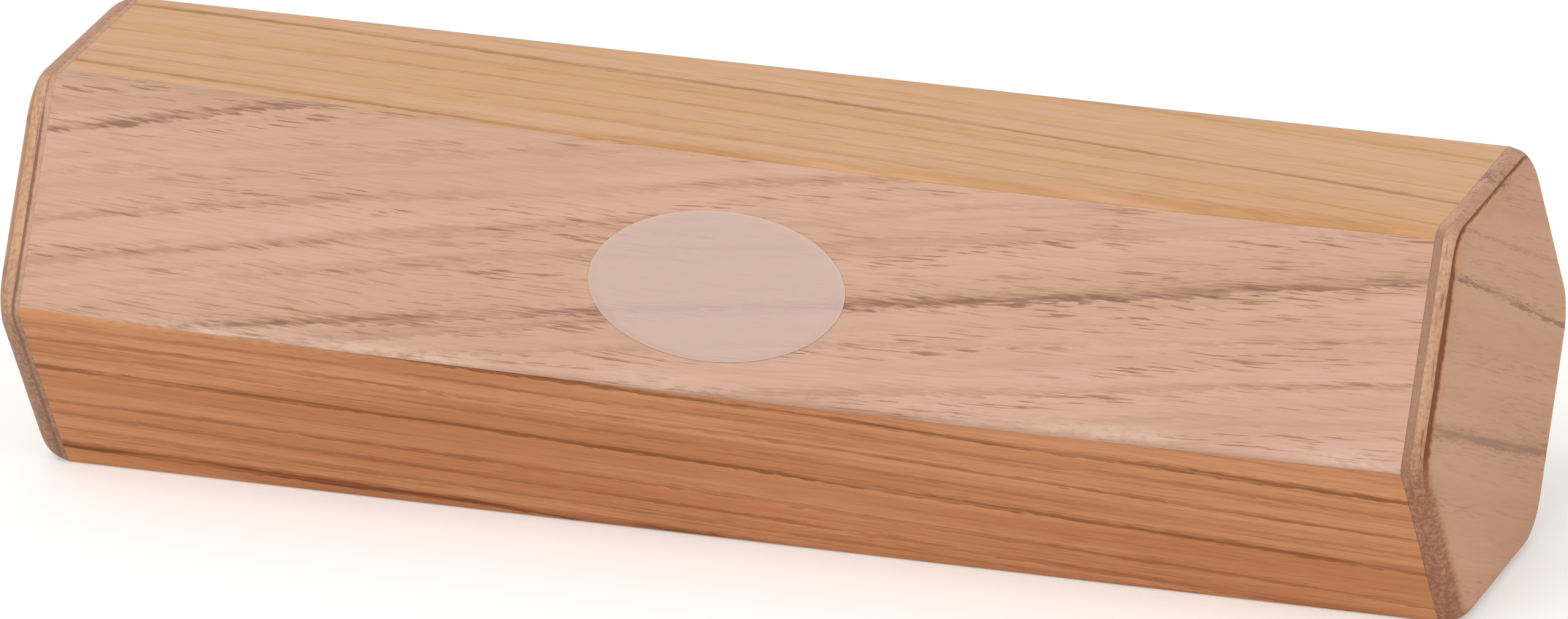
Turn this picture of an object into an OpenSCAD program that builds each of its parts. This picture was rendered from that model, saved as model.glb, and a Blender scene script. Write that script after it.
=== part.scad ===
// Hexagonal wooden ganza shaker: six mitred staves, two three-ply end caps,
// an oval label and loose steel shot sealed inside.
// X runs along the shaker, Z is up and the label faces -Y and up. The shaker lies
// on its bottom stave, with the origin on that face, under the middle.

/* [Body] */
// Width of one stave's outer face, between the sharp corners of the hexagon
face_w = 33.5; // [30:0.5:40]
// Length of the staves, which is also the length of the shot chamber
body_len = 202; // [170:1:260]
// Thickness of the staves
wall = 5; // [3:0.5:7]
// Rounding of the long edges
edge_r = 1.2; // [0.4:0.1:2.5]

/* [End caps] */
// Thickness of the ply that is glued to the staves
inner_ply = 1.2; // [0.8:0.1:2]
// Thickness of the middle ply
core_ply = 1.6; // [0.8:0.1:3]
// Thickness of the ply that shows at the end
outer_ply = 1.2; // [0.9:0.1:2]
// Corner rounding of the sanded outer face
cap_corner_r = 8; // [3:0.5:10]
// Roundover of the outer face's rim
rim_r = 2.4; // [0.5:0.1:3.5]

/* [Label] */
// Length of the oval label
label_len = 37.5; // [20:0.5:60]
// Height of the oval label
label_h = 21; // [12:0.5:24]
// How far the label's centre sits below the middle of its face
label_drop = 2; // [0:0.5:3]
// Thickness of the label's film
label_t = 0.15; // [0.1:0.05:0.3]

/* [Shot] */
// Diameter of one ball
shot_d = 4.5; // [3:0.1:5]
// Clearance between balls, and between balls and wood
shot_gap = 0.3; // [0.2:0.05:0.5]
// Balls in one short row of the two layers above the floor
row_balls = 3; // [2:1:6]

/* [Hidden] */
// The staves, in their order around the body from the top towards the front
STAVES = [
    ["stave_top", "#d6a981"],
    ["stave_upper_front", "#d6ad94"],
    ["stave_lower_front", "#c07d55"],
    ["stave_bottom", "#c98d64"],
    ["stave_lower_back", "#cb9a72"],
    ["stave_upper_back", "#d2a582"],
];
stave_turn = 360 / len(STAVES);
half_corner = stave_turn / 2;
apothem = face_w / 2 / tan(half_corner);
cap_t = inner_ply + core_ply + outer_ply;
rim_round = min(rim_r, cap_t);
round_start = cap_t - rim_round;
slice_t = 0.01;
rim_steps = 8;
corner_steps = 6;
label_steps = 72;
ball_faces = 32;

// The chamber that the staves enclose, and where balls can sit in it
floor_w = face_w - 2 * wall * tan(half_corner);
shot_r = shot_d / 2;
shot_pitch = shot_d + shot_gap;
layer_1_z = wall + shot_gap + shot_r;
layer_2_z = layer_1_z + shot_pitch;
layer_3_z = layer_2_z + shot_pitch;
floor_files = 5;
shot_rows = 5;
file_balls = shot_rows * row_balls + 1;
file_span = floor_w - 2 * (shot_r + shot_gap) * tan(half_corner);
file_pitch = file_span / (floor_files - 1);
row_pitch = row_balls * shot_pitch;

CAPS = [["left_cap", -1], ["right_cap", 1]];

// A section drawn as (Y, Z), extruded along X and centred on the origin
module along_x(length) {
    translate([-length / 2, 0, 0]) rotate([90, 0, 90]) linear_extrude(length) children();
}

// A stave's turn about the body's axis, from the top towards the front
function turn_of(name) = stave_turn * search([name], STAVES)[0];

// Corner points of a hexagon with flats at this distance from its centre
function hexagon(flat) =
    [for (i = [0:len(STAVES) - 1])
        flat / cos(half_corner) * [cos(stave_turn * i), sin(stave_turn * i)]];

// Points of a hexagon with rounded corners
function rounded_hexagon(flat, corner_r) =
    let (centres = hexagon(flat - corner_r))
    [for (i = [0:len(centres) - 1], s = [0:corner_steps])
        let (a = stave_turn * i + half_corner * (2 * s / corner_steps - 1))
        centres[i] + corner_r * [cos(a), sin(a)]];

// One stave's section, facing +Z from the hexagon's centre: the part of the hexagonal
// wall between two mitre planes, with its outer edges rounded
module stave_section() {
    reach = 2 * apothem;
    edge_y = (apothem - edge_r) * tan(half_corner);
    shoulder_y = edge_y + edge_r * sin(half_corner);
    shoulder_z = apothem - edge_r + edge_r * cos(half_corner);
    intersection() {
        polygon([[0, 0], reach * [tan(half_corner), 1], reach * [-tan(half_corner), 1]]);
        union() {
            polygon([
                [-floor_w / 2, apothem - wall],
                [floor_w / 2, apothem - wall],
                [shoulder_y, shoulder_z],
                [edge_y, apothem],
                [-edge_y, apothem],
                [-shoulder_y, shoulder_z],
            ]);
            for (side = [-1, 1])
                translate([side * edge_y, apothem - edge_r]) circle(edge_r, $fn = 64);
        }
    }
}

module stave(name, tint) {
    color(tint) translate([0, 0, apothem]) rotate([turn_of(name), 0, 0])
        along_x(body_len) stave_section();
}

// How far the rim is rounded in, and how round its corners are, at a height in the cap
function rim_inset(height) =
    let (into = max(0, min(rim_round, height - round_start)))
    rim_round - sqrt(rim_round * rim_round - into * into);
function rim_corner_r(height) = edge_r + (cap_corner_r - edge_r) * height / cap_t;

// A thin slice of the cap, whose outer or inner side is at this height above the staves' ends
module cap_slice(height, below) {
    translate([0, 0, below ? height - slice_t : height]) linear_extrude(slice_t)
        polygon(rounded_hexagon(apothem - rim_inset(height), rim_corner_r(height)));
}

// One ply, between two heights in the cap, on the end that side points to. The roundover can
// run through several plies
module ply(side, low, high) {
    translate([side * body_len / 2, 0, apothem]) rotate([0, side * 90, 0]) rotate([0, 0, 90])
        hull() {
            cap_slice(low, false);
            for (s = [0:rim_steps])
                let (height = round_start + rim_round * sin(90 * s / rim_steps))
                    if (height > low + slice_t && height < high - slice_t) cap_slice(height, true);
            cap_slice(high, true);
        }
}

module inner_ply_of(side) { color("#a5805f") ply(side, 0, inner_ply); }
module core_ply_of(side) { color("#c9a580") ply(side, inner_ply, inner_ply + core_ply); }
module outer_ply_of(side) { color("#c59a7c") ply(side, inner_ply + core_ply, cap_t); }

module oval_label() {
    color("#d8b8a8") translate([0, 0, apothem]) rotate([turn_of("stave_upper_front"), 0, 0])
        translate([0, -label_drop, apothem]) linear_extrude(label_t)
            polygon([for (i = [0:label_steps - 1])
                let (a = 360 * i / label_steps)
                [label_len / 2 * cos(a), label_h / 2 * sin(a)]]);
}

// A line of balls along X, centred on a point
module ball_line(centre, count) {
    for (b = [0:count - 1])
        translate(centre + [(b - (count - 1) / 2) * shot_pitch, 0, 0])
            sphere(d = shot_d, $fn = ball_faces);
}

// A file of balls on the floor, which rolls from cap to cap; every second file is one ball shorter
module shot_floor(i) {
    color("silver")
        ball_line([0, (i - (floor_files + 1) / 2) * file_pitch, layer_1_z], file_balls - (i + 1) % 2);
}

// A row of balls over the floor files, which swings from wall to wall
module shot_middle(i) {
    color("silver") ball_line([(i - (shot_rows + 1) / 2) * row_pitch, 0, layer_2_z], row_balls);
}

// A row of balls on a middle row, which swings with it and hops towards the top
module shot_upper(i) {
    color("silver") ball_line([(i - (shot_rows + 1) / 2) * row_pitch, 0, layer_3_z], row_balls);
}

for (s = STAVES)
    stave(s[0], s[1]);
for (c = CAPS) {
    inner_ply_of(c[1]);
    core_ply_of(c[1]);
    outer_ply_of(c[1]);
}
oval_label();
for (i = [1:floor_files])
    shot_floor(i);
for (i = [1:shot_rows]) {
    shot_middle(i);
    shot_upper(i);
}
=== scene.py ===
# %% [markdown]
# A hexagonal wooden shaker.
# A ganza is a hand percussion tube with loose shot sealed inside. This one is built like a
# small barrel: six mitred staves, a three-ply cap at each end, and a thin oval label.
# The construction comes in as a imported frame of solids, in metres. Nothing here moves or
# resizes it: the pieces that show are rebuilt as finer meshes on the frame's own measures.

# %% Load the frame and keep its box
import math

import bmesh
import bpy
from mathutils import Matrix, Vector, noise


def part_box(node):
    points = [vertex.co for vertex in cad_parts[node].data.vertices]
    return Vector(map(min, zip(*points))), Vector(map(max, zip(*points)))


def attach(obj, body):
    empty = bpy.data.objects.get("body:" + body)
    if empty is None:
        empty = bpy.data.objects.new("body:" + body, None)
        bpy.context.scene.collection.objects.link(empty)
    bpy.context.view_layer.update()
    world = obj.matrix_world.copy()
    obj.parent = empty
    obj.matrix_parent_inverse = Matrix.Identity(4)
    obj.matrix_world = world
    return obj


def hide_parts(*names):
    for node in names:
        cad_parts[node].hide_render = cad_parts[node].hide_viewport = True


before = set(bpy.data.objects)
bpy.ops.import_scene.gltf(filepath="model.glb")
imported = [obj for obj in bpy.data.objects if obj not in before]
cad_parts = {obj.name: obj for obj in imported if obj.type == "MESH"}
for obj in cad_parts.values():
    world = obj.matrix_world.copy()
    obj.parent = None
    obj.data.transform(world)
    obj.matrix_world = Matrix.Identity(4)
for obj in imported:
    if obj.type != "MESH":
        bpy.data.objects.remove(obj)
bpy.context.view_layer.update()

# %% [markdown]
# Measures.
# Every size below is read from the solids, and is kept in millimetres because that is how a
# maker thinks of a stave or a ply. A factor turns it to metres when a vertex is written.

# %% Read the measures from the solids
MM = 0.001
STAVES = ("top", "upper_front", "lower_front", "bottom", "lower_back", "upper_back")
STAVE_TURN = math.tau / len(STAVES)
HALF_CORNER = STAVE_TURN / 2

top_low, top_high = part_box("stave_top")
apothem = top_high.z / 2 / MM
wall = (top_high.z - top_low.z) / MM
half_length = top_high.x / MM
face_width = 2 * apothem * math.tan(HALF_CORNER)
print(f"staves: {2 * half_length:.1f} mm long, {face_width:.2f} mm wide, {wall:.1f} mm thick")

# %% [markdown]
# The camera.
# The photograph was taken from the label's side with a long lens, so the prism hardly tapers.
# A perspective fit to the prism's corners gave the angles, the distance and the lens. A camera
# could also be aimed with a Track To constraint, but writing its three axes keeps the small
# roll of the photograph.

# %% Place the camera
IMAGE_WIDTH = 2559
FOCAL_PIXELS = 29480
SENSOR = 36.0
AZIMUTH = math.radians(19.83)
ELEVATION = math.radians(21.75)
ROLL = math.radians(-1.16)
DISTANCE = 2.5155
AIM_RIGHT = 0.39 * MM
AIM_UP = -0.59 * MM

right = Vector((math.cos(AZIMUTH), math.sin(AZIMUTH), 0))
back = Vector((
    math.sin(AZIMUTH) * math.cos(ELEVATION),
    -math.cos(AZIMUTH) * math.cos(ELEVATION),
    math.sin(ELEVATION),
))
up = back.cross(right)
turned_right = math.cos(ROLL) * right + math.sin(ROLL) * up
turned_up = math.cos(ROLL) * up - math.sin(ROLL) * right
middle = Vector((0, 0, apothem * MM))
camera_data = bpy.data.cameras.new("photo_camera")
camera_data.sensor_fit = "HORIZONTAL"
camera_data.sensor_width = SENSOR
camera_data.lens = SENSOR * FOCAL_PIXELS / IMAGE_WIDTH
camera = bpy.data.objects.new("photo_camera", camera_data)
eye = middle + AIM_RIGHT * turned_right + AIM_UP * turned_up + DISTANCE * back
axes = Matrix((turned_right, turned_up, back)).transposed().to_4x4()
camera.matrix_world = Matrix.Translation(eye) @ axes
bpy.context.scene.collection.objects.link(camera)
bpy.context.scene.camera = camera
print(f"camera: {camera_data.lens:.0f} mm lens at {DISTANCE:.2f} m")

# %% [markdown]
# Colours and nodes.
# Finishes are written as sRGB hex values, as one would pick them by eye, and the shader wants
# linear light, so one function turns them. A second small function adds any shader node with
# its settings and links, so that a material reads as a list of what it is made of.
# Where inputs share a name they go by number. A Map Range has its value at 0, the range that it
# comes from at 1 and 2 and the range that it goes to at 3 and 4, which are 0 to 1 if not given. A
# Mix of colours has its factor at 0, its colours at 6 and 7 and its result at output 2.

# %% Helpers for materials
def paint(code):
    """An sRGB hex colour as linear RGBA."""
    channels = [int(code[i:i + 2], 16) / 255 for i in (1, 3, 5)]
    linear = [c / 12.92 if c <= 0.04045 else ((c + 0.055) / 1.055) ** 2.4 for c in channels]
    return (*linear, 1.0)


def add(tree, kind, sockets=None, **settings):
    """Adds one node and gives its outputs. sockets maps an input to a value or a link."""
    node = tree.nodes.new("ShaderNode" + kind)
    for name, value in settings.items():
        setattr(node, name, value)
    for key, value in (sockets or {}).items():
        if isinstance(value, bpy.types.NodeSocket):
            tree.links.new(value, node.inputs[key])
        else:
            node.inputs[key].default_value = value
    return node.outputs


def new_finish(name):
    """A new material, and its node tree with nothing in it yet."""
    material = bpy.data.materials.new(name)
    material.use_nodes = True
    material.node_tree.nodes.clear()
    return material, material.node_tree


print(f"middle grey is {paint('#808080')[0]:.3f} in linear light")

# %% [markdown]
# Studio.
# The object lies on a white sweep under soft light. An even white world gives most of the light,
# so that a colour renders about as it is written, and a big softbox on the label's side, above,
# gives the faces their order of brightness. The floor adds a little white of its own where the
# camera, a reflection or a clear film looks at it, and keeps the shadow.

# %% World
WORLD_LEVEL = 0.60


def looked_at(tree):
    """1 where the camera, a reflection or a clear film looks at the background, and 0 elsewhere."""
    sight = add(tree, "LightPath")
    seen = sight["Is Camera Ray"]
    for ray in ("Is Glossy Ray", "Is Transmission Ray"):
        seen = add(tree, "Math", {0: seen, 1: sight[ray]}, operation="MAXIMUM")[0]
    return seen


scene = bpy.context.scene
scene.view_settings.view_transform = "Standard"
world = bpy.data.worlds.new("studio")
world.use_nodes = True
world.node_tree.nodes.clear()
scene.world = world
seen = looked_at(world.node_tree)
level = add(world.node_tree, "MapRange", {0: seen, 3: WORLD_LEVEL, 4: 1.0})[0]
sky = add(world.node_tree, "Background", {"Color": paint("#ffffff"), "Strength": level})[0]
add(world.node_tree, "OutputWorld", {"Surface": sky})
print("world: white, at a level of", WORLD_LEVEL)


# %% Softboxes
def softbox(name, direction, distance, size, share):
    """A square softbox aimed at the object. share is the light it gives a facing white card."""
    light = bpy.data.lights.new(name, "AREA")
    light.size = size
    light.energy = share * math.pi ** 2 * distance ** 2
    lamp = bpy.data.objects.new(name, light)
    lamp.location = middle + Vector(direction).normalized() * distance
    lamp.rotation_euler = (lamp.location - middle).to_track_quat("Z", "Y").to_euler()
    scene.collection.objects.link(lamp)
    print(f"{name}: {size:.1f} m wide, {light.energy:.1f} W at {distance:.1f} m")


softbox("key_softbox", direction=(-0.25, -0.70, 0.85), distance=1.6, size=1.3, share=0.45)
softbox("side_softbox", direction=(1.0, -0.45, 0.55), distance=1.8, size=1.0, share=0.14)

# %% Floor
FLOOR_SIZE = 12.0
FLOOR_GLOW = 0.30

# Uncoated paper has no shine of its own, so it is very rough
sweep, tree = new_finish("white_paper_sweep")
glow = add(tree, "Math", {0: looked_at(tree), 1: FLOOR_GLOW}, operation="MULTIPLY")[0]
paper = add(tree, "BsdfPrincipled", {
    "Base Color": paint("#ececea"), "Roughness": 0.9,
    "Emission Color": paint("#ffffff"), "Emission Strength": glow})[0]
add(tree, "OutputMaterial", {"Surface": paper})
bpy.ops.mesh.primitive_plane_add(size=FLOOR_SIZE)
floor = bpy.context.object
floor.name = "studio_floor"
floor.data.materials.append(sweep)
print("floor:", FLOOR_SIZE, "m of", sweep.name)

# %% [markdown]
# Wood as a solid.
# A board's figure goes right through it, so the pattern is made in space and not painted on a
# face. Each board gets its own axes, in millimetres: along the board, across it, and out of its
# face. The same pattern then serves the staves and the plies, and on a ply's edge it gives long
# streaks where the cut runs with the fibres and specks where it cuts them.

# %% Axes of a board
def board_axes(tree, turn, origin):
    """Position in mm along, across and out of a board. turn is a 3 by 3 matrix of those axes."""
    turn = Matrix(turn)
    shift = -(turn @ Vector(origin))
    place = add(tree, "TexCoord")["Object"]
    return add(tree, "Mapping", {
        "Vector": place, "Location": shift, "Rotation": turn.to_euler(), "Scale": (1 / MM,) * 3})[0]


def stave_axes(index):
    """Axes and origin of a stave's board, which lies round the tube's axis by its turn."""
    turn = Matrix.Rotation(-index * STAVE_TURN, 3, "X")
    return turn, (0, 0, apothem)


# %% [markdown]
# Fibres.
# Wood is drawn in streaks. Noise that is stretched along the fibres gives all of them, from the
# pores to the slow drifts of tone. A real pore is about 0.1 to 0.2 mm wide, which is too fine to
# show here, so pores are drawn about twice as coarse. On some boards the fibres lean across the
# board, and not the same way as its ring lines. On one they also swirl, and their slope changes
# along the board.

# %% Stretched noise
STRAIGHT = (0.0, 0.0)


def streaks(tree, axes_mm, lean, length, width, detail=1.0):
    """Noise in streaks of this length and width in mm. lean is their slope, and its change."""
    slope, bend = lean
    parts = add(tree, "SeparateXYZ", {0: axes_mm})
    course = add(tree, "Math", {0: parts[0], 1: -bend / (2 * half_length), 2: -slope},
                 operation="MULTIPLY_ADD")[0]
    straight = add(tree, "Math", {0: parts[0], 1: course, 2: parts[1]}, operation="MULTIPLY_ADD")[0]
    place = add(tree, "CombineXYZ", {0: parts[0], 1: straight, 2: parts[2]})[0]
    place = add(tree, "Mapping", {"Vector": place, "Scale": (1 / length, 1 / width, 1 / width)})[0]
    return add(tree, "TexNoise", {"Vector": place, "Scale": 1.0, "Detail": detail})[0]


# %% [markdown]
# Ring lines.
# The strong dark lines are where a year's growth ended. They are listed for each board,
# by the height at which they cross its left end, its middle and its right end, so that they lie
# where they lie on the real one. Softer bands are listed the same way. A line is soft above and
# stops short below, as late wood does, and pores gather on its soft side. Finer rings between
# them follow the same flow.

# %% Listed lines and bands
# A line stops within this share of its width, and the pores over it drift this many widths up
LINE_STOP = 0.35
LINE_DRIFT = 4


def listed_lines(tree, entries, crisp, basis, across):
    """Darkness of the listed lines, from 0 to their strengths, and of the wider drift above them."""
    lines, drift = 0.0, 0.0
    for left, centre, right_end, width, strength in entries:
        curve = (centre, (right_end - left) / 2, (right_end + left) / 2 - centre)
        height = add(tree, "VectorMath", {0: basis, 1: curve}, operation="DOT_PRODUCT")["Value"]
        offset = add(tree, "Math", {0: across, 1: height}, operation="SUBTRACT")[0]
        stop = add(tree, "MapRange", {0: offset, 1: -LINE_STOP * width, 2: 0.0})[0]
        near = add(tree, "MapRange", {0: offset, 1: width, 2: 0.0})[0]
        near = add(tree, "Math", {0: near, 1: stop}, operation="MULTIPLY")[0]
        near = add(tree, "MapRange", {0: near, 1: crisp[0], 2: crisp[1], 4: strength},
                   interpolation_type="SMOOTHSTEP")[0]
        far = add(tree, "MapRange", {0: offset, 1: LINE_DRIFT * width, 2: 0.0, 4: strength})[0]
        far = add(tree, "Math", {0: far, 1: stop}, operation="MULTIPLY")[0]
        lines = add(tree, "Math", {0: lines, 1: near}, operation="MAXIMUM")[0]
        drift = add(tree, "Math", {0: drift, 1: far}, operation="MAXIMUM")[0]
    return lines, drift


# %% Fine rings
# Good and bad years shift the rings by this many gaps, and the faintest ring has this strength
RING_SHIFT = 3.0
FAINTEST_RING = 0.15
# A ring is darkest at this share of its width, and stops below it
RING_PEAK = 0.3


def fine_rings(tree, board, flow):
    """Darkness of the fine rings. Each builds up, stops, and has a strength of its own."""
    place = add(tree, "CombineXYZ", {1: flow})[0]
    uneven = streaks(tree, place, STRAIGHT, length=1, width=7)
    step = add(tree, "Math", {0: flow, 1: board["ring_gap"]}, operation="DIVIDE")[0]
    count = add(tree, "Math", {0: uneven, 1: RING_SHIFT, 2: step}, operation="MULTIPLY_ADD")[0]
    phase = add(tree, "Math", {0: count}, operation="FRACT")[0]
    year = add(tree, "Math", {0: count}, operation="FLOOR")[0]
    chance = add(tree, "TexWhiteNoise", {"W": year}, noise_dimensions="1D")["Value"]
    share = add(tree, "MapRange", {0: chance, 3: FAINTEST_RING, 4: 1.0})[0]
    width = board["ring_width"] / board["ring_gap"]
    peak = RING_PEAK * width
    stop = add(tree, "MapRange", {0: phase, 1: 0.0, 2: peak}, interpolation_type="SMOOTHSTEP")[0]
    fade = add(tree, "MapRange", {0: phase, 1: width, 2: peak}, interpolation_type="SMOOTHSTEP")[0]
    band = add(tree, "Math", {0: stop, 1: fade}, operation="MULTIPLY")[0]
    return add(tree, "Math", {0: band, 1: share}, operation="MULTIPLY")[0]


# %% [markdown]
# The whole figure.
# Tone comes first, then rings, bands, pores and lines over it. Lines are frayed at their edges,
# broken up along their length and dashed by the fibres, because a saw cuts in and out of each
# fibre, and a line that never breaks looks printed. Noise keeps near its middle, so each mask has
# a window, which is the range of noise that it comes in over. A third number there is its least.

# %% Courses of rings and fibres
def ring_course(tree, axes_mm, board):
    """Terms of a curve along the board, its wobbling height, and axes on which its rings lie level."""
    parts = add(tree, "SeparateXYZ", {0: axes_mm})
    reach = add(tree, "Math", {0: parts[0], 1: half_length}, operation="DIVIDE")[0]
    square = add(tree, "Math", {0: reach, 1: reach}, operation="MULTIPLY")[0]
    basis = add(tree, "CombineXYZ", {0: 1.0, 1: reach, 2: square})[0]
    wobble = streaks(tree, axes_mm, STRAIGHT, length=55, width=11)
    bent = add(tree, "Math", {0: wobble, 1: board["wobble"], 2: parts[1]}, operation="MULTIPLY_ADD")[0]
    slope = add(tree, "VectorMath", {0: basis, 1: (board["wobble"] / 2, *board["flow"])},
                operation="DOT_PRODUCT")["Value"]
    level = add(tree, "Math", {0: bent, 1: slope}, operation="SUBTRACT")[0]
    level_mm = add(tree, "CombineXYZ", {0: parts[0], 1: level, 2: parts[2]})[0]
    return dict(basis=basis, bent=bent, level=level, level_mm=level_mm)


def grain_streaks(tree, axes_mm, board, level_mm):
    """Streaks along the swirling fibres and along the rings, from the finest to the broadest."""
    parts = add(tree, "SeparateXYZ", {0: axes_mm})
    swirl = streaks(tree, axes_mm, STRAIGHT, length=30, width=8)
    swirled = add(tree, "Math", {0: swirl, 1: board["swirl"], 2: parts[1]}, operation="MULTIPLY_ADD")[0]
    fibre_mm = add(tree, "CombineXYZ", {0: parts[0], 1: swirled, 2: parts[2]})[0]
    lean = board["fibre_lean"]
    return dict(
        fibre=streaks(tree, fibre_mm, lean, length=7, width=0.26),
        pore=streaks(tree, fibre_mm, lean, length=6, width=0.28, detail=2.0),
        teeth=streaks(tree, fibre_mm, lean, length=2.4, width=0.34),
        strand=streaks(tree, level_mm, STRAIGHT, length=20, width=0.8),
        drift=streaks(tree, level_mm, STRAIGHT, length=45, width=2.6),
        broad=streaks(tree, level_mm, STRAIGHT, length=95, width=5.0, detail=2.0))


# %% Frayed lines and bands
SOFT = (0.0, 1.0)
BREAK_WINDOW = {1: 0.36, 2: 0.56}
DASH_WINDOW = {1: 0.36, 2: 0.58}
FADE_WINDOW = {1: 0.36, 2: 0.60, 3: 0.35}


def frayed_lines(tree, board, course, grain):
    """Masks of a board's listed lines, of its listed bands, and of the drift above the lines."""
    frayed = add(tree, "Math", {0: grain["teeth"], 1: board["feather"], 2: course["bent"]},
                 operation="MULTIPLY_ADD")[0]
    frayed = add(tree, "Math", {0: frayed, 1: (board["wobble"] + board["feather"]) / 2},
                 operation="SUBTRACT")[0]
    lines, drift = listed_lines(tree, board["lines"], board["crisp"], course["basis"], frayed)
    broken = add(tree, "MapRange", {0: grain["strand"], **BREAK_WINDOW, 3: board["broken"]})[0]
    dashes = add(tree, "MapRange", {0: grain["fibre"], **DASH_WINDOW, 3: 1 - board["dashed"]})[0]
    for mask in (broken, dashes):
        lines = add(tree, "Math", {0: lines, 1: mask}, operation="MULTIPLY")[0]
    bands, _ = listed_lines(tree, board["bands"], SOFT, course["basis"], frayed)
    fading = add(tree, "MapRange", {0: grain["drift"], **FADE_WINDOW})[0]
    bands = add(tree, "Math", {0: bands, 1: fading}, operation="MULTIPLY")[0]
    return lines, bands, drift


# %% Ragged rings and open pores
# How far the teeth on a ring reach, in mm
RING_TEETH = 0.6
CUT_WINDOW = {1: 0.38, 2: 0.56, 3: 0.10}
GATHER_WINDOW = {1: 0.46, 2: 0.62, 3: 0.10}
PORE_WINDOW = {1: 0.55, 2: 0.67}


def ragged_rings(tree, board, course, grain):
    """Mask of the fine rings, with teeth on them, and cut short in places."""
    ragged = add(tree, "Math", {0: grain["teeth"], 1: RING_TEETH, 2: course["level"]},
                 operation="MULTIPLY_ADD")[0]
    rings = fine_rings(tree, board, ragged)
    cut = add(tree, "MapRange", {0: grain["strand"], **CUT_WINDOW})[0]
    return add(tree, "Math", {0: rings, 1: cut}, operation="MULTIPLY")[0]


def open_pores(tree, grain, crowds):
    """Mask of the pores, which gather in drifts of their own and in these crowds."""
    gather = add(tree, "MapRange", {0: grain["drift"], **GATHER_WINDOW})[0]
    for crowd in crowds:
        gather = add(tree, "Math", {0: gather, 1: crowd}, operation="MAXIMUM")[0]
    pores = add(tree, "MapRange", {0: grain["pore"], **PORE_WINDOW}, interpolation_type="SMOOTHSTEP")[0]
    return add(tree, "Math", {0: pores, 1: gather}, operation="MULTIPLY")[0]


# %% Figure of a board
HAZE_WINDOW = {1: 0.38, 2: 0.68}
PATCH_WINDOW = {1: 0.36, 2: 0.64}
FIBRE_RELIEF = 0.4


def board_figure(tree, axes_mm, board):
    """Colour and relief of a board, from its axes in mm and its description."""
    course = ring_course(tree, axes_mm, board)
    grain = grain_streaks(tree, axes_mm, board, course["level_mm"])
    lines, bands, drift = frayed_lines(tree, board, course, grain)
    rings = ragged_rings(tree, board, course, grain)
    pores = open_pores(tree, grain, (drift, bands))
    haze = add(tree, "MapRange", {0: grain["fibre"], **HAZE_WINDOW}, interpolation_type="SMOOTHSTEP")[0]
    patch = add(tree, "MapRange", {0: grain["broad"], **PATCH_WINDOW}, interpolation_type="SMOOTHSTEP")[0]

    pale, body, ring, pore, line = (paint(board[tone]) for tone in ("pale", "body", "ring", "pore", "line"))
    colour = add(tree, "Mix", {0: patch, 6: pale, 7: body}, data_type="RGBA")[2]
    late = add(tree, "Mix", {0: lines, 6: ring, 7: line}, data_type="RGBA")[2]
    for mask, share, tone in (
        (haze, board["haze"], ring),
        (rings, board["ring_share"], ring),
        (bands, 1.0, ring),
        (pores, board["pore_share"], pore),
        (lines, 1.0, late),
    ):
        amount = add(tree, "Math", {0: mask, 1: share}, operation="MULTIPLY")[0]
        colour = add(tree, "Mix", {0: amount, 6: colour, 7: tone}, data_type="RGBA")[2]
    dents = add(tree, "Math", {0: pores, 1: lines}, operation="MAXIMUM")[0]
    relief = add(tree, "Math", {0: grain["fibre"], 1: FIBRE_RELIEF, 2: dents}, operation="MULTIPLY_ADD")[0]
    return colour, relief
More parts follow.
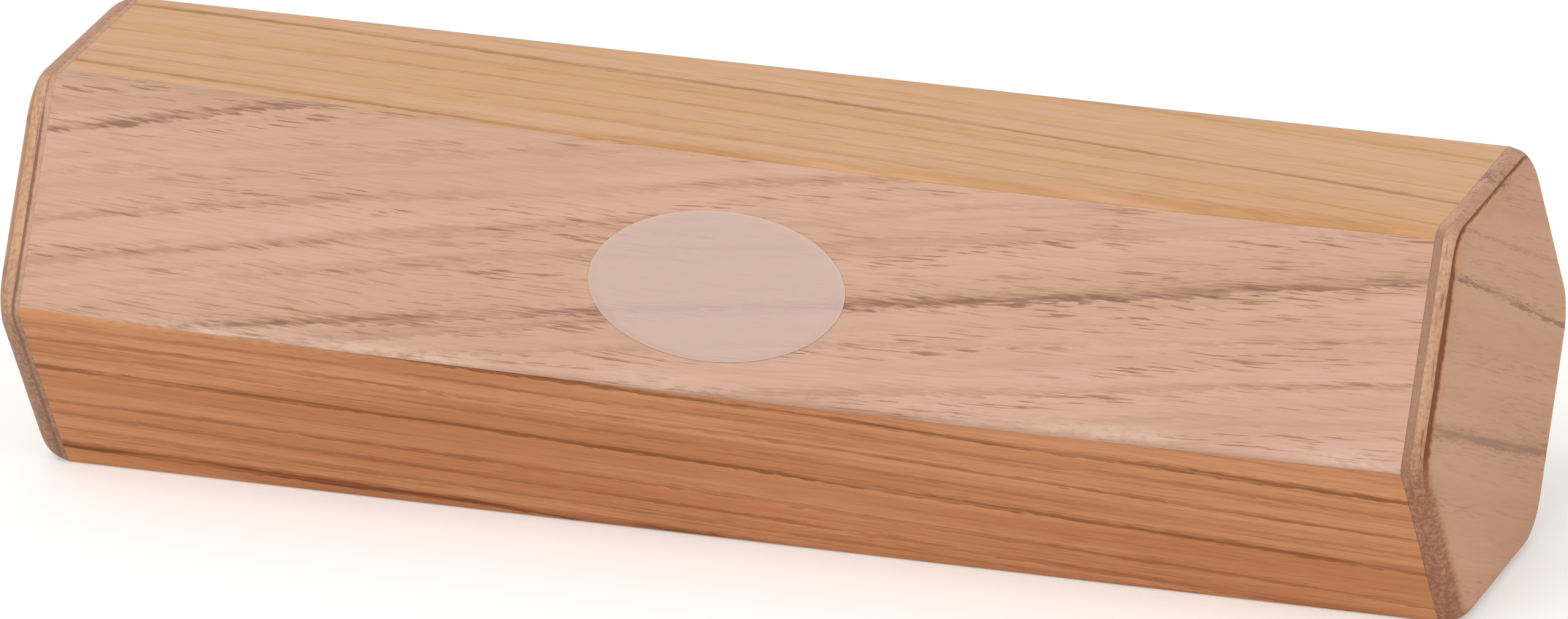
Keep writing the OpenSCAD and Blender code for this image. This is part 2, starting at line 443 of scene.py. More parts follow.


# %% [markdown]
# Oiled stave wood.
# The staves look like a pale reddish hardwood, sanded and oiled: satin, with open pores that break
# up the shine. Colour and figure differ from board to board, so each stave has its own description.
# Heights are in millimetres from the middle of the face, up towards the top of the tube. A line or
# band is its heights at the left end, the middle and the right end, its width and its strength.

# %% Descriptions of the six boards
# crisp is the part of a line's slope over which it darkens. flow is how far the fine rings rise and
# bow from the middle to the right end, and wobble, swirl and feather are how far rings, fibres and
# the edges of lines stray, all in mm. broken is what is left of a line in its gaps, and dashed what
# is lost of it between fibres. The pair of shares for the lower and the upper edge is a painted
# highlight there: a paler tone where light catches the rounding.
PLAIN = dict(
    lines=[], bands=[], crisp=(0.2, 0.75), flow=(0.0, 0.0), fibre_lean=STRAIGHT, swirl=0.0,
    haze=0.10, dashed=0.0, edge_highlight=(0.0, 0.0))
BOARDS = {
    "top": dict(
        PLAIN, pale="#dba983", body="#d6a374", ring="#b27d49", pore="#a06c3f", line="#8f5c2b",
        lines=[(13.7, 5.8, -6.5, 1.5, 0.70), (-9.2, -19.5, -31.0, 1.5, 0.68),
               (3.6, -2.2, -15.0, 0.9, 0.36), (-2.0, -8.0, -21.0, 0.9, 0.34), (27.0, 19.0, 10.0, 0.9, 0.34)],
        bands=[(-5.0, -12.0, -22.0, 1.8, 0.34), (9.0, 2.0, -9.0, 2.2, 0.22),
               (-17.0, -17.2, -17.6, 2.4, 0.65)],
        crisp=(0.10, 0.85), flow=(-10.2, -1.9), fibre_lean=(-0.085, 0.0), ring_gap=2.3, ring_width=1.0,
        ring_share=0.34, pore_share=0.26, haze=0.14, wobble=1.6, feather=1.2, broken=0.45),
    "upper_front": dict(
        PLAIN, pale="#d2a792", body="#caa085", ring="#a5775d", pore="#94653e", line="#755541",
        lines=[(9.2, 29.6, 50.0, 2.0, 0.82), (-19.5, -5.3, 9.1, 2.0, 0.86)],
        bands=[(-3.3, 12.0, 25.0, 1.5, 0.44), (-9.3, 7.5, 21.0, 1.4, 0.44),
               (-13.5, 2.8, 16.0, 1.3, 0.38), (-31.0, -17.6, -5.3, 1.6, 0.52),
               (-24.0, -10.8, 1.5, 1.3, 0.40), (-24.0, -6.2, 10.6, 1.8, 0.44),
               (-30.0, -20.0, -10.9, 1.2, 0.36), (3.0, 17.5, 31.0, 1.3, 0.36)],
        crisp=(0.10, 0.90), flow=(14.3, 0.1), fibre_lean=(0.0, 0.05), swirl=3.2,
        ring_gap=4.2, ring_width=1.6, ring_share=0.30, pore_share=0.76, haze=0.14, wobble=2.0,
        feather=2.4, broken=0.58, dashed=0.45, edge_highlight=(0.55, 0.0)),
    "lower_front": dict(
        PLAIN, pale="#da9a6b", body="#c98555", ring="#a4602f", pore="#985a33", line="#743c14",
        lines=[(4.7, 0.2, -6.2, 1.5, 0.80), (-12.7, -17.2, -22.5, 1.8, 0.90),
               (18.5, 14.3, 9.4, 1.4, 0.80), (14.3, 11.0, 5.9, 1.0, 0.42),
               (11.5, 7.6, 1.4, 1.0, 0.52), (8.5, 4.2, -2.3, 1.0, 0.42),
               (-2.6, -6.8, -13.8, 1.1, 0.56), (-5.3, -10.7, -18.0, 1.1, 0.52),
               (-9.0, -13.5, -19.0, 1.0, 0.46)],
        crisp=(0.12, 0.72), flow=(-5.4, -0.9), fibre_lean=(-0.05, 0.0), ring_gap=1.7, ring_width=0.8,
        ring_share=0.55, pore_share=0.34, haze=0.20, wobble=1.2, feather=1.3, broken=0.48,
        edge_highlight=(0.0, 0.40)),
    "bottom": dict(
        PLAIN, pale="#d09a70", body="#c89066", ring="#a87046", pore="#9c6640", line="#80522e",
        lines=[(-13.0, -6.5, 1.5, 1.2, 0.70), (6.0, 12.5, 20.0, 1.1, 0.60)],
        flow=(7.2, 0.6), fibre_lean=(0.06, 0.0), ring_gap=2.8, ring_width=1.2, ring_share=0.50,
        pore_share=0.40, wobble=1.8, feather=0.9, broken=0.50),
    "lower_back": dict(
        PLAIN, pale="#d2a27c", body="#ca9770", ring="#ab7852", pore="#9e6d48", line="#825a38",
        lines=[(13.0, 8.0, 1.5, 1.2, 0.75), (-2.0, -8.0, -15.0, 1.1, 0.55)],
        flow=(-6.0, -0.8), fibre_lean=(-0.04, 0.0), ring_gap=2.4, ring_width=1.0, ring_share=0.50,
        pore_share=0.40, wobble=1.6, feather=0.9, broken=0.50),
    "upper_back": dict(
        PLAIN, pale="#d4a886", body="#cc9e7b", ring="#b07f5b", pore="#9f724f", line="#836244",
        lines=[(-11.0, 0.5, 13.5, 1.6, 0.75)],
        bands=[(3.0, 14.0, 27.0, 2.2, 0.45), (-22.0, -11.0, 1.0, 2.2, 0.45)],
        flow=(12.2, 0.8), fibre_lean=(-0.03, 0.0), ring_gap=3.6, ring_width=1.8, ring_share=0.40,
        pore_share=0.60, wobble=2.0, feather=1.8, broken=0.45),
}
print("ring lines:", {name: len(board["lines"]) for name, board in BOARDS.items()})

# %% Painted highlight on the edges
# The painted highlight reaches this far in from the edge, and is full this near to it
HIGHLIGHT_REACH = 2.8
HIGHLIGHT_FULL = 0.5
# The rounding starts where the surface falls this far below the face
ROUNDING_WINDOW = {1: -0.01, 2: -0.12}
# Patches of painted glare beside the edge, and paler flecks that break up the painted highlight
GLARE_PATCH_WINDOW = {1: 0.42, 2: 0.62}
FLECK_WINDOW = {1: 0.38, 2: 0.58, 3: 0.25}
# The lower and the upper edge differ, and one share gives way to the other between these heights
MIDDLE_WINDOW = {1: -1.0, 2: 1.0}


def painted_edge_highlight(tree, axes_mm, board):
    """Mask of a highlight painted on the edges: patches of painted glare beside them, all of their rounding,
    and flecks.
    """
    parts = add(tree, "SeparateXYZ", {0: axes_mm})
    rounding = add(tree, "MapRange", {0: parts[2], **ROUNDING_WINDOW})[0]
    aside = add(tree, "Math", {0: parts[1]}, operation="ABSOLUTE")[0]
    near = add(tree, "MapRange", {
        0: aside, 1: face_width / 2 - HIGHLIGHT_REACH, 2: face_width / 2 - HIGHLIGHT_FULL})[0]
    patchy = streaks(tree, axes_mm, STRAIGHT, length=26, width=9)
    glare_patches = add(tree, "MapRange", {0: patchy, **GLARE_PATCH_WINDOW})[0]
    glare_patches = add(tree, "Math", {0: glare_patches, 1: rounding}, operation="MAXIMUM")[0]
    highlight_flecks = streaks(tree, axes_mm, STRAIGHT, length=1.6, width=0.6, detail=3.0)
    highlight_flecks = add(tree, "MapRange", {0: highlight_flecks, **FLECK_WINDOW})[0]
    # Share of the painted highlight on the lower and the upper edge
    low_share, high_share = board["edge_highlight"]
    edge_highlight = add(tree, "MapRange", {0: parts[1], **MIDDLE_WINDOW, 3: low_share, 4: high_share})[0]
    for mask in (glare_patches, near, highlight_flecks):
        edge_highlight = add(tree, "Math", {0: edge_highlight, 1: mask}, operation="MULTIPLY")[0]
    return edge_highlight


# %% Sanded and oiled hardwood
# Paler tones painted on the edges as a highlight, where light catches the rounding
EDGE_HIGHLIGHT_TONES = {"upper_front": "#e3c6b6", "lower_front": "#e0aa78"}
# Oiled wood is about half rough, smoother on its fibres and duller in its pores
OILED_SHEEN = {3: 0.46, 4: 0.62}
OILED_BUMP = 0.4
PORE_DEPTH = 0.05 * MM
WOOD_SPECULAR = 0.3


def wood_surface(tree, colour, relief, sheen, strength):
    """Ends a wood's tree: satin, with pores and lines that lie a little deep."""
    roughness = add(tree, "MapRange", {0: relief, **sheen})[0]
    bump = add(tree, "Bump", {"Strength": strength, "Distance": PORE_DEPTH, "Height": relief},
               invert=True)[0]
    wood = add(tree, "BsdfPrincipled", {
        "Base Color": colour, "Roughness": roughness, "Specular IOR Level": WOOD_SPECULAR,
        "Normal": bump})[0]
    add(tree, "OutputMaterial", {"Surface": wood})


def oiled_wood(name):
    """The finish of one stave: its figure, satin oil, open pores and a highlight painted on its edges."""
    board = BOARDS[name]
    material, tree = new_finish("oiled_hardwood_" + name)
    axes_mm = board_axes(tree, *stave_axes(STAVES.index(name)))
    colour, relief = board_figure(tree, axes_mm, board)
    # A paler tone over the edges is a painted highlight
    edge_highlight = painted_edge_highlight(tree, axes_mm, board)
    highlight_tone = paint(EDGE_HIGHLIGHT_TONES.get(name, board["pale"]))
    colour = add(tree, "Mix", {0: edge_highlight, 6: colour, 7: highlight_tone}, data_type="RGBA")[2]
    wood_surface(tree, colour, relief, OILED_SHEEN, OILED_BUMP)
    return material


stave_finish = {name: oiled_wood(name) for name in STAVES}
print("finishes:", ", ".join(m.name for m in stave_finish.values()))

# %% [markdown]
# Stave meshes.
# A stave is one long section: a flat face, half of a rounded edge on each side, two mitres and the
# inner face. It could be a bevelled box, but the edges were rounded by hand after gluing, so two
# neighbours share one radius, a low waviness from sanding runs across the joint, and the joint
# strays a little to one side of the rounding or the other. The section is worked out point by point
# and lofted along the tube, with a hairline at each joint.

# %% Loft helpers
SHARP_ANGLE = math.radians(32)


def loft(bm, rings, close_start=True, close_end=True):
    """Skins closed rings of points, and closes the ends with one face each."""
    rows = [[bm.verts.new(point) for point in ring] for ring in rings]
    for low, high in zip(rows, rows[1:]):
        for i in range(len(low)):
            j = (i + 1) % len(low)
            bm.faces.new((low[i], low[j], high[j], high[i]))
    if close_start:
        bm.faces.new(rows[0])
    if close_end:
        bm.faces.new(rows[-1])
    return rows


def shell_piece(name, bm, finish, node):
    """Makes a piece of the shell that stands for a CAD node."""
    bmesh.ops.recalc_face_normals(bm, faces=bm.faces)
    mesh = bpy.data.meshes.new(name)
    bm.to_mesh(mesh)
    bm.free()
    mesh.shade_smooth()
    mesh.set_sharp_from_angle(angle=SHARP_ANGLE)
    mesh.materials.append(finish)
    piece = bpy.data.objects.new(name, mesh)
    scene.collection.objects.link(piece)
    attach(piece, "shell")
    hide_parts(node)


# %% Rounded edges and joints
# In the order of the staves, for the joint of each with the next one: the radius of its edge, and how
# far it strays at the left end, in the middle and at the right end
EDGE_RADII = (2.0, 0.9, 1.2, 1.3, 1.2, 1.5)
JOINT_WANDER = (
    (-3.6, 0.5, 1.1), (-0.8, 0.9, 0.5), (0.2, -0.3, 0.2),
    (-0.3, 0.2, 0.1), (0.2, 0.3, -0.2), (0.1, -0.3, 0.3))
EDGE_RUN = 4.0
EDGE_STEPS = 16
MITRE_HAIRLINE = 0.05
HAIRLINE_WIDTH = 0.08


def wander(index, reach):
    """How far a joint has strayed from its corner, in mm, with reach from -1 to 1 along the tube."""
    left, centre, right_end = JOINT_WANDER[index]
    return centre + (right_end - left) / 2 * reach + ((left + right_end) / 2 - centre) * reach ** 2


def edge_point(radius, run):
    """Point and normal on a rounded edge. run is measured over the edge from its middle."""
    half = radius * HALF_CORNER
    on_arc = max(-half, min(half, run))
    angle = HALF_CORNER + on_arc / radius
    normal = Vector((math.sin(angle), math.cos(angle)))
    tangent = Vector((math.cos(angle), -math.sin(angle)))
    centre = Vector(((apothem - radius) * math.tan(HALF_CORNER), apothem - radius))
    return centre + radius * normal + (run - on_arc) * tangent, normal


def half_edge(radius, joint):
    """Points and normals of a stave's half of an edge, from its flat to the joint's hairline."""
    last = joint - HAIRLINE_WIDTH
    runs = [-EDGE_RUN + (last + EDGE_RUN) * s / EDGE_STEPS for s in range(EDGE_STEPS + 1)]
    points = [edge_point(radius, run) for run in runs]
    mouth, normal = edge_point(radius, joint)
    return points + [(mouth - MITRE_HAIRLINE * normal, normal)]


print("first joint strays, mm:", [round(wander(0, reach), 2) for reach in (-1, -0.5, 0, 0.5, 1)])

# %% Section of a stave
FLAT_STEPS = 12
MIRROR = Matrix(((-1, 0), (0, 1)))


def stave_section(index, reach):
    """Outer points with normals from one joint to the other, then the two inner points."""
    up_edge = half_edge(EDGE_RADII[index - 1], -wander(index - 1, reach))
    down_edge = half_edge(EDGE_RADII[index], wander(index, reach))
    down_edge = [(MIRROR @ point, MIRROR @ normal) for point, normal in down_edge]
    start, end = down_edge[0][0], up_edge[0][0]
    flat = [(start.lerp(end, s / FLAT_STEPS), Vector((0, 1))) for s in range(1, FLAT_STEPS)]
    inner = (apothem - wall) * math.tan(HALF_CORNER)
    corners = [(Vector((side * inner, apothem - wall)), None) for side in (1, -1)]
    return down_edge[::-1] + flat + up_edge + corners


print("section of a stave:", len(stave_section(0, 0.0)), "points")

# %% Loft the six staves
LENGTH_STEPS = 72
SANDING_WAVE = 0.04
WAVE_LENGTH = 35
WAVE_WIDTH = 9


def sanding(place):
    """Height in mm of the low waves that sanding leaves at a place in mm."""
    return SANDING_WAVE * noise.noise(Vector((
        place.x / WAVE_LENGTH, place.y / WAVE_WIDTH, place.z / WAVE_WIDTH)))


def stave_mesh(index):
    """One stave, in metres, at its place round the tube."""
    turn = Matrix.Rotation(index * STAVE_TURN, 3, "X")
    bm = bmesh.new()
    rings = []
    for step in range(LENGTH_STEPS + 1):
        reach = 2 * step / LENGTH_STEPS - 1
        ring = []
        for point, normal in stave_section(index, reach):
            place = turn @ Vector((half_length * reach, *point))
            if normal:
                place += sanding(place) * (turn @ Vector((0, *normal)))
            ring.append((place + Vector((0, 0, apothem))) * MM)
        rings.append(ring)
    loft(bm, rings)
    return bm


for index, name in enumerate(STAVES):
    shell_piece(f"sanded_stave_{name}", stave_mesh(index), stave_finish[name],
                f"stave_{name}")
print("staves:", len(STAVES), "lofted with edge radii", EDGE_RADII)

# %% [markdown]
# Plywood.
# The caps are three-ply. Face and back plies have their grain one way and the core has its grain
# across them, so around the hexagon a layer shows as long streaks on one edge and as specks on the
# next, where its fibres are cut and drink more oil. The board pattern does the streaks by itself
# once each ply has its own axes, and the angle between edge and grain darkens the cut fibres. The
# lower edges get painted shade, in specks, and the core is mottled all round. Two glue lines were
# scorched by the saw, and show as ragged brown lines. In one place fibres were torn out of the rim.

# %% Descriptions of the plies
FACE_GRAIN = math.radians(-25)
CORE_GRAIN = FACE_GRAIN + math.pi / 2
PLIES = {
    "inner_ply": dict(
        PLAIN, grain=FACE_GRAIN, cut="#957059", pale="#cda084", body="#c5967a", ring="#ab7d62",
        pore="#80593f", line="#80593f", ring_gap=3.0, ring_width=1.4, ring_share=0.40, pore_share=0.60,
        wobble=1.2, feather=0.6, broken=0.5),
    "core_ply": dict(
        PLAIN, grain=CORE_GRAIN, cut="#bb8c6d", pale="#d0a484", body="#c49676", ring="#a97b5c",
        pore="#855c41", line="#855c41", ring_gap=1.6, ring_width=0.9, ring_share=0.45, pore_share=0.75,
        wobble=1.0, feather=0.6, broken=0.5),
    "outer_ply": dict(
        PLAIN, grain=FACE_GRAIN, cut="#a5775a", pale="#cf9d7c", body="#c89775", ring="#ae7e5f",
        pore="#9b7154", line="#8a6a54",
        lines=[(16.8, 11.6, 6.4, 1.2, 0.85), (-9.8, -8.1, -6.4, 2.8, 0.72), (22.0, 19.0, 16.0, 0.8, 0.45)],
        crisp=(0.10, 0.85), ring_gap=6.5, ring_width=2.2, ring_share=0.20, pore_share=0.24, haze=0.09,
        wobble=1.2, feather=2.0, broken=0.45),
}
# Tone and share of the painted shade on each cap's lower edges, and the strength of each ply's mottle
UNDERSIDE_SHADE = {"left": ("#866655", 0.60), "right": ("#95593b", 0.80)}
MOTTLES = {"inner_ply": 0.15, "core_ply": 0.28, "outer_ply": 0.10}
PALE_CUTS = {"left_cap_inner_ply": "#c59c84"}
# Each line's depth in its ply and its reach, in mm, and what is left of it on the lower edges
SCORCHES = {
    "left_cap_inner_ply": dict(tone="#6f4630", at=0.95, reach=0.30, share=0.75, below=0.70),
    "right_cap_outer_ply": dict(tone="#723e1e", at=0.0, reach=0.64, share=0.95, below=0.08),
}
print("plies:", ", ".join(PLIES), "with scorched lines on", len(SCORCHES), "of them")

# %% Cut fibres
# Where an edge faces along the fibres, and how much of the cut tone it then takes at most
END_GRAIN = {1: 0.45, 2: 0.95, 4: 0.75}
# The rim is what doesn't face along the tube
RIM_WINDOW = {1: 0.95, 2: 0.75}


def cut_fibres(tree, colour, facing, fibres, tone):
    """Colour with the cut tone where the edge cuts across the fibres."""
    lengthwise = add(tree, "VectorMath", {0: facing, 1: fibres}, operation="DOT_PRODUCT")["Value"]
    lengthwise = add(tree, "Math", {0: lengthwise}, operation="ABSOLUTE")[0]
    end_grain = add(tree, "MapRange", {0: lengthwise, **END_GRAIN})[0]
    return add(tree, "Mix", {0: end_grain, 6: colour, 7: paint(tone)}, data_type="RGBA")[2]


def rim_mask(tree, facing):
    """1 on the rim of a cap and 0 on its end face."""
    parts = add(tree, "SeparateXYZ", {0: facing})
    outward = add(tree, "Math", {0: parts[0]}, operation="ABSOLUTE")[0]
    return add(tree, "MapRange", {0: outward, **RIM_WINDOW})[0]


# %% Painted shade and mottle
SPECK = 0.7
# Specks in which the painted shade lies
SHADE_SPECK_WINDOW = {1: 0.30, 2: 0.60, 3: 0.35}
MOTTLE_WINDOW = {1: 0.48, 2: 0.62}
# The painted shade comes in between these heights from the tube's axis, in mm
UNDERSIDE = {1: 8.0, 2: -4.0}


def shaded_underside(tree, colour, specks, height, rim, side_name):
    """Colour with shade painted on the lower edges of the rim, in specks."""
    tone, share = UNDERSIDE_SHADE[side_name]
    shade = add(tree, "MapRange", {0: height, **UNDERSIDE, 4: share})[0]
    shade_specks = add(tree, "MapRange", {0: specks, **SHADE_SPECK_WINDOW})[0]
    for mask in (rim, shade_specks):
        shade = add(tree, "Math", {0: shade, 1: mask}, operation="MULTIPLY")[0]
    return add(tree, "Mix", {0: shade, 6: colour, 7: paint(tone)}, data_type="RGBA")[2]


def mottled_rim(tree, colour, specks, rim, ply):
    """Colour with the specks that a ply has all round its rim."""
    mottle = add(tree, "MapRange", {0: specks, **MOTTLE_WINDOW, 4: MOTTLES[ply]})[0]
    mottle = add(tree, "Math", {0: mottle, 1: rim}, operation="MULTIPLY")[0]
    return add(tree, "Mix", {0: mottle, 6: colour, 7: paint(PLIES[ply]["pore"])}, data_type="RGBA")[2]


# %% Scorched glue lines
# Slow waves and small bites move a line's edge by these lengths in mm
SCORCH_WAVE = 0.45
SCORCH_BITE = 0.30
# The line fades over this much outside and inside its reach
SCORCH_OUTSIDE = 0.10
SCORCH_INSIDE = 0.16
# Heights from the tube's axis in mm: lines get narrower near the top, and fainter below
SCORCH_NARROWS = {1: 20.0, 2: 27.0, 4: 0.24}
SCORCH_FADES = {1: -4.0, 2: 2.0}


def scorched_line(tree, colour, scorch, parts, waves, bites):
    """Colour with a ragged line that the saw burnt, at a depth in the ply."""
    depth = add(tree, "Math", {0: parts[0]}, operation="ABSOLUTE")[0]
    depth = add(tree, "Math", {0: depth, 1: scorch["at"]}, operation="SUBTRACT")[0]
    depth = add(tree, "Math", {0: depth}, operation="ABSOLUTE")[0]
    depth = add(tree, "Math", {0: waves, 1: -SCORCH_WAVE, 2: depth}, operation="MULTIPLY_ADD")[0]
    depth = add(tree, "Math", {0: bites, 1: -SCORCH_BITE, 2: depth}, operation="MULTIPLY_ADD")[0]
    narrow = add(tree, "MapRange", {0: parts[2], **SCORCH_NARROWS})[0]
    depth = add(tree, "Math", {0: depth, 1: narrow}, operation="ADD")[0]
    reach = scorch["reach"] - (SCORCH_WAVE + SCORCH_BITE) / 2
    burn = add(tree, "MapRange", {
        0: depth, 1: reach + SCORCH_OUTSIDE, 2: reach - SCORCH_INSIDE, 4: scorch["share"]})[0]
    above = add(tree, "MapRange", {0: parts[2], **SCORCH_FADES, 3: scorch["below"]})[0]
    burn = add(tree, "Math", {0: burn, 1: above}, operation="MULTIPLY")[0]
    return add(tree, "Mix", {0: burn, 6: colour, 7: paint(scorch["tone"])}, data_type="RGBA")[2]


# %% Torn fibres
TORN_CAP = "right"
TORN_PLACE = (0.0, 4.5, 28.5)
TORN_REACH = 3.4
TORN_SHARE = 0.65
TORN_TONE = "#7d5238"
TUFT_WINDOW = {1: 0.46, 2: 0.56}


def torn_fibres(tree, colour, tube_mm, bites, rim):
    """Colour with the tufts that were torn out of the rim in one place, full to half of its reach."""
    gap = add(tree, "VectorMath", {0: tube_mm, 1: TORN_PLACE}, operation="DISTANCE")["Value"]
    torn = add(tree, "MapRange", {0: gap, 1: TORN_REACH, 2: TORN_REACH / 2, 4: TORN_SHARE})[0]
    tufts = add(tree, "MapRange", {0: bites, **TUFT_WINDOW})[0]
    for mask in (tufts, rim):
        torn = add(tree, "Math", {0: torn, 1: mask}, operation="MULTIPLY")[0]
    return add(tree, "Mix", {0: torn, 6: colour, 7: paint(TORN_TONE)}, data_type="RGBA")[2]


# %% Sawn plywood
# Sawn edges and a sanded face are a little rougher than the staves
SAWN_SHEEN = {3: 0.52, 4: 0.68}
SAWN_BUMP = 0.45


def ply_wood(node, ply, start):
    """The finish of one ply. start is its face nearer the staves, in mm along the tube."""
    board = PLIES[ply]
    side_name = node.split("_")[0]
    material, tree = new_finish("sawn_plywood_" + node)
    fibres = Vector((0, math.cos(board["grain"]), math.sin(board["grain"])))
    turn = (fibres, (0, -fibres.z, fibres.y), (1, 0, 0))
    axes_mm = board_axes(tree, turn, (start, 0, apothem))
    tube_mm = board_axes(tree, Matrix.Identity(3), (start, 0, apothem))
    parts = add(tree, "SeparateXYZ", {0: tube_mm})
    facing = add(tree, "TexCoord")["Normal"]
    rim = rim_mask(tree, facing)
    specks = streaks(tree, axes_mm, STRAIGHT, length=SPECK, width=SPECK)
    waves = streaks(tree, axes_mm, STRAIGHT, length=4.5, width=4.5, detail=3.0)
    bites = streaks(tree, axes_mm, STRAIGHT, length=0.9, width=0.9, detail=2.0)

    colour, relief = board_figure(tree, axes_mm, board)
    colour = cut_fibres(tree, colour, facing, fibres, PALE_CUTS.get(node, board["cut"]))
    # Painted shade darkens the lower edges of the rim
    colour = shaded_underside(tree, colour, specks, parts[2], rim, side_name)
    colour = mottled_rim(tree, colour, specks, rim, ply)
    if node in SCORCHES:
        colour = scorched_line(tree, colour, SCORCHES[node], parts, waves, bites)
    if side_name == TORN_CAP:
        colour = torn_fibres(tree, colour, tube_mm, bites, rim)
    wood_surface(tree, colour, relief, SAWN_SHEEN, SAWN_BUMP)
    return material


# %% [markdown]
# Cap meshes.
# Each ply is a stack of outlines: a hexagon with round corners, whose corners grow rounder towards
# the outer face because the ends were sanded most. A wide roundover runs through the plies into the
# end face. Each ply's edge is eased a little besides, so that the layers read as layers.

# %% Outline of a cap at a height
# The first three are the solids' own roundings, which can't be read from a box
CAP_CORNER = 8.0
SOLID_EDGE = 1.2
RIM_ROUND = 2.4
CORNER_STEPS = 8
SIDE_STEPS = 6
RIM_STEPS = 8
PLY_EASE = 0.06
PLY_EASE_REACH = 0.14
SAW_MARKS = 0.05
SAW_PITCH = 1.7
CAP_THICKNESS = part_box("right_cap_outer_ply")[1].x / MM - half_length
ROUND_START = CAP_THICKNESS - RIM_ROUND


def rim_inset(height):
    """How far the roundover has drawn the rim in at this height."""
    into = max(0.0, height - ROUND_START)
    return RIM_ROUND - math.sqrt(max(0.0, RIM_ROUND ** 2 - into ** 2))


def cap_outline(height, inset):
    """Points in mm across the tube, at this height above the staves' ends, moved in by inset."""
    corner = SOLID_EDGE + (CAP_CORNER - SOLID_EDGE) * height / CAP_THICKNESS
    reach = (apothem - inset - corner) / math.cos(HALF_CORNER)
    arcs = []
    for index in range(len(STAVES)):
        centre = reach * Vector((math.cos(STAVE_TURN * index), math.sin(STAVE_TURN * index)))
        for step in range(CORNER_STEPS + 1):
            angle = STAVE_TURN * index + HALF_CORNER * (2 * step / CORNER_STEPS - 1)
            arcs.append(centre + corner * Vector((math.cos(angle), math.sin(angle))))
    points = []
    for index, point in enumerate(arcs):
        points.append(point)
        if index % (CORNER_STEPS + 1) == CORNER_STEPS:
            following = arcs[(index + 1) % len(arcs)]
            points += [point.lerp(following, s / SIDE_STEPS) for s in range(1, SIDE_STEPS)]
    return points


def cap_ring(side, height, inset):
    """A cap's outline in metres, roughened a little by the saw."""
    ring = []
    for point in cap_outline(height, inset):
        place = Vector((side * (half_length + height), *point))
        rough = SAW_MARKS * noise.noise(place / SAW_PITCH)
        place += rough * Vector((0, *point.normalized()))
        ring.append((place + Vector((0, 0, apothem))) * MM)
    return ring


print(f"caps: {CAP_THICKNESS:.1f} mm thick, rounded over from {ROUND_START:.1f} mm up")

# %% Stack the plies
# Rings on the end face, as shares of its outline, and the least step between two heights, in mm
FACE_SHARES = (0.93, 0.75, 0.5, 0.25)
LEAST_STEP = 0.02


def ply_profile(low, high, outermost):
    """Heights and insets of a ply's edge: the roundover, and an ease where it meets its neighbours."""
    turns = [math.pi / 2 * step / RIM_STEPS for step in range(RIM_STEPS + 1)]
    rounds = [ROUND_START + RIM_ROUND * math.sin(turn) for turn in turns]
    first = low + PLY_EASE_REACH
    last = high if outermost else high - PLY_EASE_REACH
    between = [h for h in rounds if first + LEAST_STEP < h < last - LEAST_STEP]
    heights = [first] + between + [last]
    profile = [(low, rim_inset(low) + PLY_EASE)]
    profile += [(h, rim_inset(h)) for h in heights]
    if not outermost:
        profile.append((high, rim_inset(high) + PLY_EASE))
    return profile


def ply_mesh(side, low, high, outermost):
    """One ply between two heights. The outermost one gets an end face that is drawn to a point."""
    bm = bmesh.new()
    rings = [cap_ring(side, height, inset) for height, inset in ply_profile(low, high, outermost)]
    if outermost:
        hub = Vector((side * (half_length + high), 0, apothem)) * MM
        rings += [[hub.lerp(point, share) for point in rings[-1]] for share in FACE_SHARES]
    rows = loft(bm, rings, close_end=not outermost)
    if outermost:
        centre = bm.verts.new(hub)
        for i, vert in enumerate(rows[-1]):
            bm.faces.new((vert, rows[-1][(i + 1) % len(rows[-1])], centre))
    return bm


for side_name, side in (("left", -1), ("right", 1)):
    for ply in PLIES:
        node = f"{side_name}_cap_{ply}"
        low, high = sorted(abs(corner.x) / MM - half_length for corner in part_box(node))
        finish = ply_wood(node, ply, side * (half_length + low))
        bm = ply_mesh(side, low, high, outermost=ply == "outer_ply")
        shell_piece(f"sawn_{node}", bm, finish, node)
        print(f"{node}: {high - low:.2f} mm thick")

# %% [markdown]
# The label.
# The label is a blank oval of frosted film. It lets a little of the board's figure through, so its
# colour starts from the same pattern as the stave under it and is washed over with the film's own
# pale tone. A clear shader over the wood would do it too, but an even wash keeps its look when the
# finish is baked.

# %% Measure the label
LABELLED = "upper_front"

turn_back = Matrix.Rotation(-STAVES.index(LABELLED) * STAVE_TURN, 3, "X")
label_low, label_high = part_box("oval_label")
label_centre = turn_back @ ((label_low + label_high) / 2 / MM - Vector((0, 0, apothem)))
film_thickness = 2 * (label_centre.z - apothem)
half_long = (label_high.x - label_low.x) / MM / 2
# The labelled face leans back from upright by half a corner
tilt = HALF_CORNER
half_tall = ((label_high.z - label_low.z) / MM - film_thickness * math.sin(tilt)) / math.cos(tilt) / 2
print(f"label: {2 * half_long:.1f} by {2 * half_tall:.1f} mm, {film_thickness:.2f} mm thick")

# %% Frosted film
# Vinyl has an IOR of 1.52, and its frosting leaves it a little smoother than the oiled wood
FILM_IOR = 1.52
FILM_SHEEN = {3: 0.36, 4: 0.48}
FILM_BUMP = 0.12
FROST_DEPTH = 0.02 * MM
FILM_TONE = "#c2a79b"
FILM_WASH = 0.80
WASH_SPREAD = 0.08
CUT_EDGE = "#d9c4b6"
CUT_EDGE_WIDTH = 0.35
CUT_EDGE_SHARE = 0.28

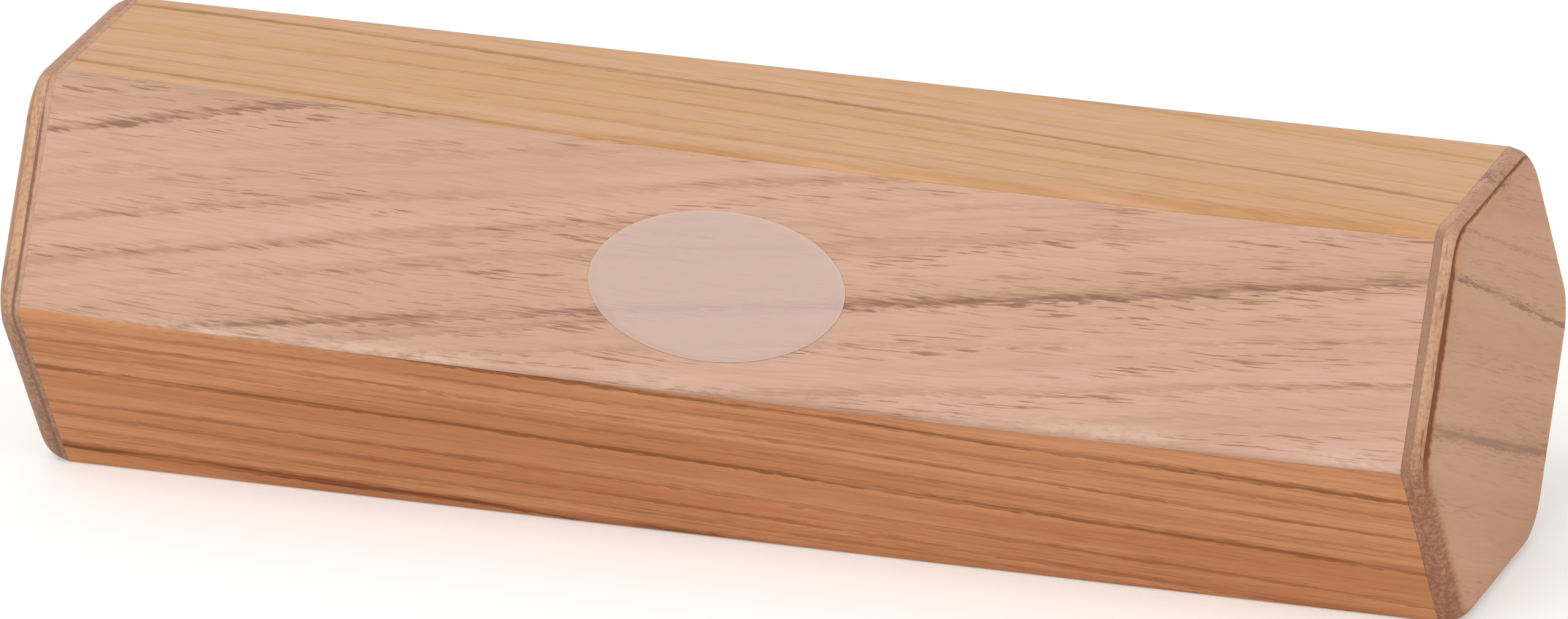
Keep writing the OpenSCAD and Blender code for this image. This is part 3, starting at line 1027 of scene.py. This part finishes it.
film, tree = new_finish("frosted_vinyl_film")
axes_mm = board_axes(tree, *stave_axes(STAVES.index(LABELLED)))
under, _ = board_figure(tree, axes_mm, BOARDS[LABELLED])
frost = streaks(tree, axes_mm, STRAIGHT, length=2.2, width=2.2, detail=3.0)
wash = add(tree, "MapRange", {0: frost, 3: FILM_WASH - WASH_SPREAD, 4: FILM_WASH + WASH_SPREAD})[0]
colour = add(tree, "Mix", {0: wash, 6: under, 7: paint(FILM_TONE)}, data_type="RGBA")[2]
share = add(tree, "VectorMath", {0: axes_mm, 1: (0, label_centre.y, 0)}, operation="SUBTRACT")[0]
share = add(tree, "VectorMath", {0: share, 1: (1 / half_long, 1 / half_tall, 0)}, operation="MULTIPLY")[0]
share = add(tree, "VectorMath", {0: share}, operation="LENGTH")["Value"]
rim = add(tree, "MapRange", {
    0: share, 1: 1 - 2 * CUT_EDGE_WIDTH / half_long, 2: 1.0, 4: CUT_EDGE_SHARE})[0]
colour = add(tree, "Mix", {0: rim, 6: colour, 7: paint(CUT_EDGE)}, data_type="RGBA")[2]
gloss = add(tree, "MapRange", {0: frost, **FILM_SHEEN})[0]
bump = add(tree, "Bump", {"Strength": FILM_BUMP, "Distance": FROST_DEPTH, "Height": frost})[0]
vinyl = add(tree, "BsdfPrincipled", {
    "Base Color": colour, "Roughness": gloss, "IOR": FILM_IOR, "Normal": bump})[0]
add(tree, "OutputMaterial", {"Surface": vinyl})
print("film:", film.name, "over", LABELLED)

# %% Cut the oval
LABEL_STEPS = 96
FILM_EDGE = 0.06
# Half way round, a rounded edge has come in by about 0.3 of its radius
HALF_WAY = 0.3 * FILM_EDGE
LABEL_SHARES = (0.92, 0.7, 0.45, 0.2)


def oval(shrink, share, height):
    """A ring of the label, shrunk by a length and a share, at a height above the stave."""
    ring = []
    for step in range(LABEL_STEPS):
        angle = math.tau * step / LABEL_STEPS
        place = Vector((
            share * (half_long - shrink) * math.cos(angle),
            label_centre.y + share * (half_tall - shrink) * math.sin(angle),
            apothem + height))
        ring.append((turn_back.transposed() @ place + Vector((0, 0, apothem))) * MM)
    return ring


bm = bmesh.new()
rings = [
    oval(0, 1, 0),
    oval(0, 1, film_thickness - FILM_EDGE),
    oval(HALF_WAY, 1, film_thickness - HALF_WAY),
    oval(FILM_EDGE, 1, film_thickness),
]
rings += [oval(FILM_EDGE, share, film_thickness) for share in LABEL_SHARES]
loft(bm, rings)
shell_piece("blank_oval_film", bm, film, "oval_label")
print("label:", len(rings), "rings of", LABEL_STEPS, "points")

# %% [markdown]
# The shot.
# The rattle is polished steel shot. It never shows, but the tube would come apart to it, so the
# balls keep their solids and get a real finish: bright steel with the fine scuffs of balls that
# have rubbed against each other.

# %% Scuffed steel on the balls
SCUFF_LENGTH = 0.9
SCUFF_ROUGHNESS = 0.65
# Polished steel is smooth, and scuffs take it about halfway to satin
STEEL_SHEEN = {1: 0.3, 2: 0.7, 3: 0.14, 4: 0.38}

steel, tree = new_finish("scuffed_steel_shot")
place = add(tree, "TexCoord")["Object"]
place = add(tree, "Mapping", {"Vector": place, "Scale": (1 / (SCUFF_LENGTH * MM),) * 3})[0]
scuff = add(tree, "TexNoise", {
    "Vector": place, "Scale": 1.0, "Detail": 4.0, "Roughness": SCUFF_ROUGHNESS})[0]
tint = add(tree, "Mix", {0: scuff, 6: paint("#c9c9c7"), 7: paint("#a3a3a3")}, data_type="RGBA")[2]
gloss = add(tree, "MapRange", {0: scuff, **STEEL_SHEEN})[0]
metal = add(tree, "BsdfPrincipled", {"Base Color": tint, "Metallic": 1.0, "Roughness": gloss})[0]
add(tree, "OutputMaterial", {"Surface": metal})
balls = [node for name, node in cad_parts.items() if name.startswith("shot_")]
for ball_row in balls:
    ball_row.material_slots[0].material = steel
print("shot:", len(balls), "rows of balls")
